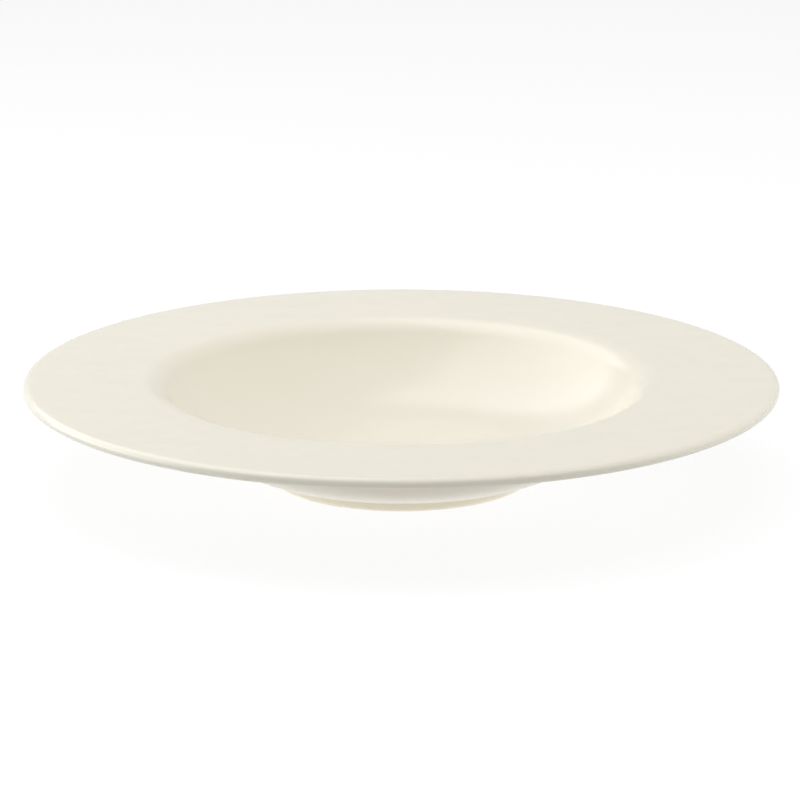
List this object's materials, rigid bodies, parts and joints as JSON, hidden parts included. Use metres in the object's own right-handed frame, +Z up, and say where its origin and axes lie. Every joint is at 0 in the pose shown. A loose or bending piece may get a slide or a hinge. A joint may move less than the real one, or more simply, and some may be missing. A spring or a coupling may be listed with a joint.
{
  "type": "pasta bowl",
  "caption": "Round pasta bowl with a wide, almost level rim, a deep round well and a low foot ring, in ivory glazed porcelain.",
  "frame": {"origin": "on the bowl's axis, in the plane that the foot ring stands on", "axes": "+Z up along the bowl's axis, out of the open well"},
  "size_m": [0.3, 0.3, 0.042],
  "materials": {
    "porcelain": "matte",
    "glaze": "polished"
  },
  "bodies": {
    "root": {"porcelain_body": "porcelain", "glaze_coat": "glaze", "base_glaze": "glaze"}
  },
  "joints": []
}
